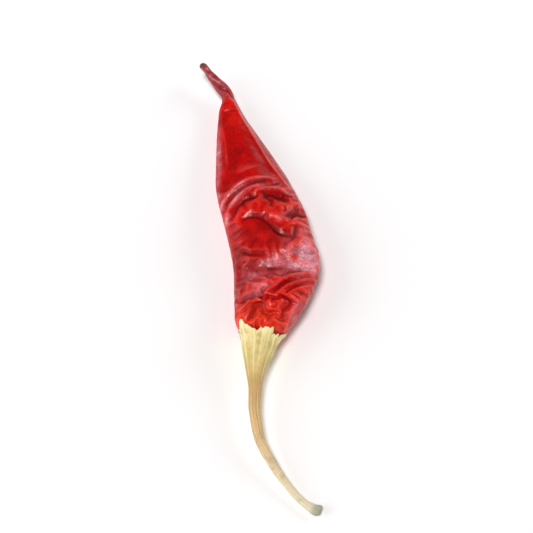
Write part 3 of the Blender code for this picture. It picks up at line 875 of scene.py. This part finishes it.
# ------------------------------------------------------------------ the pod
def make_pod():
    s, angle, skin, centre, facing = make_skin()
    normal = normals_of(blurred(skin, 2), centre)
    near, wide = blurred(skin, 6), blurred(skin, 60)
    small = np.sum((skin - near) * normal, axis=-1)
    large = np.sum((near - wide) * normal, axis=-1)
    first = frames(POD_LENGTH, POD_COLS, np.array(0.0))[0][:3]
    last = frames(POD_LENGTH, POD_COLS, np.array(POD_WHOLE))[0][:3]
    pod = mesh_of("pod_skin", skin, first, last)
    tight = np.sum((skin - blurred(skin, 3)) * normal, axis=-1)
    x, y = skin[..., 0], skin[..., 1]
    # the dull, paler skin: partly a real bloom, partly painted sheen and painted highlights
    bloom_and_sheen = np.zeros_like(x)
    for side, cx, cy, rx, ry, turn, much in BLOOM_AND_PAINTED_SHEEN:
        t = math.radians(turn)
        u = (x - cx) * math.cos(t) + (y - cy) * math.sin(t)
        v = (y - cy) * math.cos(t) - (x - cx) * math.sin(t)
        on_side = smooth01(0.3 + facing * side * 1.2) if side else 1.0
        bloom_and_sheen += much * on_side * np.exp(-((u / rx) ** 2) - (v / ry) ** 2)
    bloom_and_sheen *= 0.75 + 0.35 * waves(skin, 3.0, 24, 71)
    # deeper red: partly the skin's own tone, partly painted shade
    deep_red_and_shade = np.zeros_like(x)
    for side, cx, cy, rx, ry, turn, much in DEEP_RED_AND_PAINTED_SHADE:
        t = math.radians(turn)
        u = (x - cx) * math.cos(t) + (y - cy) * math.sin(t)
        v = (y - cy) * math.cos(t) - (x - cx) * math.sin(t)
        on_side = smooth01(0.3 + facing * side * 1.2) if side else 1.0
        deep_red_and_shade += much * on_side * np.exp(-((u / rx) ** 2) - (v / ry) ** 2)
    deep_red_and_shade *= 0.8 + 0.35 * waves(skin, 4.0, 24, 93)
    attribute(pod, "deep_red_and_shade", np.clip(deep_red_and_shade, 0, 1))
    attribute(pod, "bloom_and_sheen", np.clip(bloom_and_sheen, 0, 1.35))
    calm = 1 - 0.55 * np.exp(-(((x - 5.0) / 6.0) ** 2) - ((y - 18.0) / 5.5) ** 2)
    # painted highlight along the sharp crests, less of it on the dome
    attribute(pod, "crest_highlight", calm * np.clip(tight / 0.014, 0, 1) * np.clip(0.4 + large / 0.20, 0, 1))
    # painted shade: the narrow creases and the broad hollows are marked to be drawn darker, a little less near the
    # calyx
    pale = 1 - 0.50 * np.exp(-(((x - 2.0) / 6.0) ** 2) - ((y - 0.4) / 2.8) ** 2)
    attribute(pod, "crease_shade", pale * np.clip(-tight / 0.016, 0, 1) * np.clip(0.5 - large / 0.25, 0, 1))
    attribute(pod, "hollow_shade", pale * np.clip(-large / 0.26, 0, 1))
    # painted light on the top side, added to the bulges below
    painted_light = np.zeros_like(x)
    for cx, cy, rx, ry, turn, much in PAINTED_LIGHT:
        t = math.radians(turn)
        u = (x - cx) * math.cos(t) + (y - cy) * math.sin(t)
        v = (y - cy) * math.cos(t) - (x - cx) * math.sin(t)
        painted_light += much * smooth01(facing * 1.5) * np.exp(-((u / rx) ** 2) - (v / ry) ** 2)
    attribute(pod, "lit_swell", np.clip(0.5 + large / 0.50 + painted_light, 0, 1))
    attribute(pod, "tail", smooth01((s - (POD_WHOLE - 10.5)) / 6.0) * 0.9 + 0.1 * smooth01((s - (POD_WHOLE - 1.2)) / 0.6), 0.0, 1.0)
    attribute(pod, "neck", 1 - smooth01((s - 2.0) / 5.5), 1.0, 0.0)
    pod.data.materials.append(skin_material())
    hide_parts("pod")
    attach(pod, "root")
    print("pod lift", round(float(small.max()), 3), round(float(small.min()), 3), round(float(large.max()), 3), round(float(large.min()), 3))
    return pod


# ------------------------------------------------------------------ the calyx and stem
def tooth(angle):
    wave = 0.5 + 0.5 * np.cos(CALYX_TEETH * angle + 0.6)
    return wave**1.3 * (0.75 + 0.25 * np.cos(2 * angle + 1.1))


def ragged(angle):
    """Small uneven notches and points along the calyx's margin."""
    splits = np.abs(np.sin(6.5 * angle + 0.9 + 0.6 * np.sin(3 * angle))) ** 0.45
    return (
        0.34 * (splits - 0.75)
        + 0.14 * np.cos(13 * angle + 0.4)
        + 0.10 * np.cos(23 * angle + 2.1 + np.sin(2 * angle))
        + 0.07 * np.cos(37 * angle + 1.0)
        + 0.04 * np.cos(61 * angle + 2.7)
    )


def pod_offset(s, angle, off):
    e = 0.02
    p, _, _ = pod_plain(s, angle)
    du = pod_plain(s + e, angle)[0] - pod_plain(s - e, angle)[0]
    dv = pod_plain(s, angle + e)[0] - pod_plain(s, angle - e)[0]
    n = np.cross(dv, du)
    n /= np.maximum(np.linalg.norm(n, axis=-1, keepdims=True), 1e-9)
    middle = frames(POD_LENGTH, POD_COLS, s)[0][..., :3]
    n *= np.sign(np.sum(n * (p - middle), axis=-1, keepdims=True))
    return p + n * np.asarray(off)[..., None]


STALK_SIDES = 150


def veins(angle):
    """The uneven raised lines that run up the calyx, -1 to 1."""
    return (
        0.45 * np.cos(10 * angle + 0.6 + 0.5 * np.sin(3 * angle))
        + 0.30 * np.cos(17 * angle + 2.2 + 0.7 * np.sin(2 * angle + 1))
        + 0.25 * np.cos(31 * angle + 0.9 + 0.8 * np.sin(5 * angle))
    )


def stalk_ring(s, angle):
    """One ring of the stem or cone, with its ribs, furrows and fibres, and how high each is."""
    at, side, up, _ = frames(STALK_LENGTH, STALK_COLS, np.full_like(angle, s))
    cone = 1 - smooth01((s - 2.0) / 12.0)
    turn = 0.035 * s + 0.25 * math.sin(0.23 * s)
    a = angle + turn
    rib = 0.5 + 0.5 * np.cos(5 * angle + 0.6)
    lobes = 0.030 * (2 * rib - 1) * np.clip(1 - s / 16.0, 0.15, 1)
    lines = veins(angle)
    furrows = 0.022 * lines * cone + (1 - cone) * (
        0.016 * np.cos(11 * a + 1.3 + 0.10 * s)
        + 0.014 * np.cos(17 * a + 0.2 - 0.07 * s)
        + 0.008 * np.cos(29 * a + 2.2 + 0.05 * s)
    )
    dry = 0.020 * math.sin(1.7 * s + 0.5) * np.cos(2 * a + 1.1 * s) * (1 - cone)
    dry = dry + 0.022 * np.cos(3 * a + 0.35 * s + 1.1 * math.sin(0.8 * s)) * (1 - cone)
    dents = -0.05 * (1 - cone) * np.exp(-((np.cos(a - 0.11 * s) - 1) ** 2) / 0.08)
    shape = 1 + lobes + furrows + dry + dents - 0.03
    u = at[..., 3] * np.cos(angle) * shape
    v = at[..., 4] * np.sin(angle) * shape
    ring = at[..., :3] - side * u[..., None] + up * v[..., None]
    fibre = np.clip(0.5 + 0.5 * (lines * cone + (1 - cone) * furrows / 0.03), 0, 1)
    return ring, rib * cone, fibre


def make_stalk():
    angle = np.linspace(0, 2 * math.pi, STALK_SIDES, endpoint=False)
    rings, ribs, fibres, alongs, rims, knobs = [], [], [], [], [], []

    def add(ring, rib, fibre, along, rim, knob):
        one = np.ones_like(angle)
        rings.append(ring)
        ribs.append(rib * one)
        fibres.append(fibre * one)
        alongs.append(along * one)
        rims.append(rim * one)
        knobs.append(knob * one)

    meets = 1.4  # where the cone ends and the flare that cups the pod begins
    turns = np.linspace(0.12, math.pi / 2, 14)
    ends = STALK_WHOLE - 0.85 * (1 - np.cos(turns))
    shrink = np.concatenate([np.sin(turns), np.ones(320)])
    places = np.concatenate([ends, np.linspace(ends[-1], meets, 321)[1:]])
    for s, k in zip(places, shrink):
        ring, rib, fibre = stalk_ring(s, angle)
        at, side, up, along = (q[0] for q in frames(STALK_LENGTH, STALK_COLS, np.array([s])))
        centre = at[:3]
        knob = float(smooth01(np.array((s - (STALK_WHOLE - 2.4)) / 1.4)))
        if k < 1:  # the torn scar: a hollow with an uneven lip
            crater = 0.55 * smooth01(np.array((0.8 - k) / 0.8)) * 0.9
            bumps = 0.06 * np.cos(3 * angle + 1) + 0.05 * np.cos(7 * angle + 2)
            ring = centre + (ring - centre) * k - along * (crater + bumps * (1 - k))[..., None]
        lumps = 1 + knob * (0.06 * np.cos(3 * angle + 0.8 * s) + 0.04 * np.cos(5 * angle - s))
        ring = centre + (ring - centre) * lumps[..., None]
        add(ring, rib, fibre, s / STALK_WHOLE, 0.0, knob)
    rim = CALYX_RIM_S + CALYX_TOOTH * tooth(angle) + ragged(angle)
    rim = np.maximum(rim, 0.55)
    lift = 0.50 + 0.5 * np.cos(9 * angle + 2.0)
    start, start_rib, start_fibre = rings[-1], ribs[-1], fibres[-1]
    reach = CALYX_GAP + 0.22 + 0.14 * lift
    end = pod_offset(rim, angle, reach)
    leave = start - stalk_ring(meets + 0.6, angle)[0]
    leave /= np.linalg.norm(leave, axis=-1, keepdims=True)
    arrive = end - pod_offset(np.maximum(rim - 0.5, 0.2), angle, reach - 0.10 * lift)
    arrive /= np.linalg.norm(arrive, axis=-1, keepdims=True)
    long = np.linalg.norm(end - start, axis=-1, keepdims=True)
    base, _, _, along = frames(POD_LENGTH, POD_COLS, np.array([0.0]))
    outward = start - base[0, :3]
    outward -= np.sum(outward * along[0], axis=-1, keepdims=True) * along[0]
    outward /= np.linalg.norm(outward, axis=-1, keepdims=True)
    lines = veins(angle)
    steps = 34
    for t in np.linspace(0, 1, steps + 1)[1:]:
        h00, h10 = (1 + 2 * t) * (1 - t) ** 2, t * (1 - t) ** 2
        h01, h11 = t * t * (3 - 2 * t), t * t * (t - 1)
        ring = h00 * start + h10 * long * leave + h01 * end + h11 * long * arrive
        ring = ring + outward * ((0.07 * t * (1 - 0.6 * t)) * lines + 0.04 * t * np.cos(7 * angle + 5 * t))[..., None]
        add(ring, start_rib, np.clip(0.5 + 0.5 * lines, 0, 1), 0.0,
            float(smooth01(np.array((t - 0.45) / 0.55))), 0.0)
    inner = 14
    for k in np.linspace(1, 0, inner + 1)[:-1]:
        under = 0.10 * lift * smooth01(np.array((k - 0.75) / 0.25))
        add(pod_offset(0.10 + (rim - 0.10) * k**1.6, angle, CALYX_GAP * 0.85 + under), 0.5, 0.5, 0.0, 0.7, 0.0)
    at, _, _, away = frames(STALK_LENGTH, STALK_COLS, np.array([STALK_WHOLE]))
    end = at[0, :3] - away[0] * 0.62
    inside = base[0, :3] - along[0] * CALYX_GAP
    grid = np.array(rings)
    grid[..., 2] = np.maximum(grid[..., 2], 0.004)
    stalk = mesh_of("calyx_and_pedicel", grid, end, inside)
    attribute(stalk, "fibre", fibres, 0.3, 0.5)
    attribute(stalk, "along", alongs, 1, 0)
    attribute(stalk, "rim", rims, 0, 0)
    attribute(stalk, "knob", knobs, 1, 0)
    stalk.data.materials.append(stalk_material())
    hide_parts("calyx_and_stem")
    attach(stalk, "root")
    return stalk


# ------------------------------------------------------------------ stage, light and camera
def look_at(obj, target, roll=0.0):
    from mathutils import Quaternion, Vector

    d = (Vector(target) - obj.location).normalized()
    obj.rotation_mode = "QUATERNION"
    obj.rotation_quaternion = d.to_track_quat("-Z", "Y") @ Quaternion((0, 0, 1), roll)


def soft_box(name, way, spread, strength, colour=(1, 1, 1)):
    """A distant light, as wide as spread in degrees, that shines from that way."""
    light = bpy.data.lights.new(name, "SUN")
    light.energy = strength
    light.color = colour
    light.angle = math.radians(spread)
    obj = bpy.data.objects.new(name, light)
    obj.location = way
    bpy.context.scene.collection.objects.link(obj)
    look_at(obj, (0, 0, 0))
    return obj


def make_stage():
    mesh = bpy.data.meshes.new("floor")
    half = 6.0
    mesh.from_pydata([(-half, -half, 0), (half, -half, 0), (half, half, 0), (-half, half, 0)], [], [(0, 1, 2, 3)])
    floor = bpy.data.objects.new("floor", mesh)
    floor.location.z = -0.00002
    bpy.context.scene.collection.objects.link(floor)
    mesh.materials.append(floor_material())
    floor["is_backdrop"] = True

    # a pale room: bright walls all round, dimmer overhead between the lights
    world = bpy.data.worlds.new("studio")
    world.use_nodes = True
    tree = world.node_tree
    way = tree.nodes.new("ShaderNodeTexCoord")
    parts = tree.nodes.new("ShaderNodeSeparateXYZ")
    height = tree.nodes.new("ShaderNodeMapRange")
    height.interpolation_type = "SMOOTHSTEP"
    for name, value in (("From Min", 0.13), ("From Max", 0.32), ("To Min", 1.0), ("To Max", 0.11)):
        height.inputs[name].default_value = value
    tree.links.new(way.outputs["Generated"], parts.inputs[0])
    tree.links.new(parts.outputs["Z"], height.inputs["Value"])
    background = tree.nodes["Background"]
    background.inputs["Color"].default_value = (1.0, 1.0, 1.0, 1)
    tree.links.new(height.outputs["Result"], background.inputs["Strength"])
    bpy.context.scene.world = world

    # soft boxes far enough away to light the whole floor evenly
    soft_box("key", (-0.20, -0.16, 1.0), 18, 2.05, (1.0, 0.985, 0.99))
    soft_box("left", (-0.88, 0.10, 0.50), 40, 1.00, (1.0, 0.98, 0.98))
    soft_box("right", (0.88, 0.16, 0.46), 30, 0.85, (1.0, 0.975, 0.96))


def make_camera():
    low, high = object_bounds()
    target = (low + high) / 2
    azimuth, elevation, away = math.radians(-14), math.radians(62), 0.285
    cam = bpy.data.cameras.new("camera")
    cam.lens = 100
    cam.sensor_width = 36
    cam.clip_start, cam.clip_end = 0.01, 30
    obj = bpy.data.objects.new("camera", cam)
    obj.location = (
        target.x + math.sin(azimuth) * math.cos(elevation) * away,
        target.y - math.cos(azimuth) * math.cos(elevation) * away,
        target.z + math.sin(elevation) * away,
    )
    bpy.context.scene.collection.objects.link(obj)
    look_at(obj, target)
    bpy.context.scene.camera = obj


make_pod()
make_stalk()
make_stage()
make_camera()

view = bpy.context.scene.view_settings
view.view_transform = "Standard"
view.look = "None"
view.exposure = 0.08
view.gamma = 0.88

bpy.context.view_layer.update()
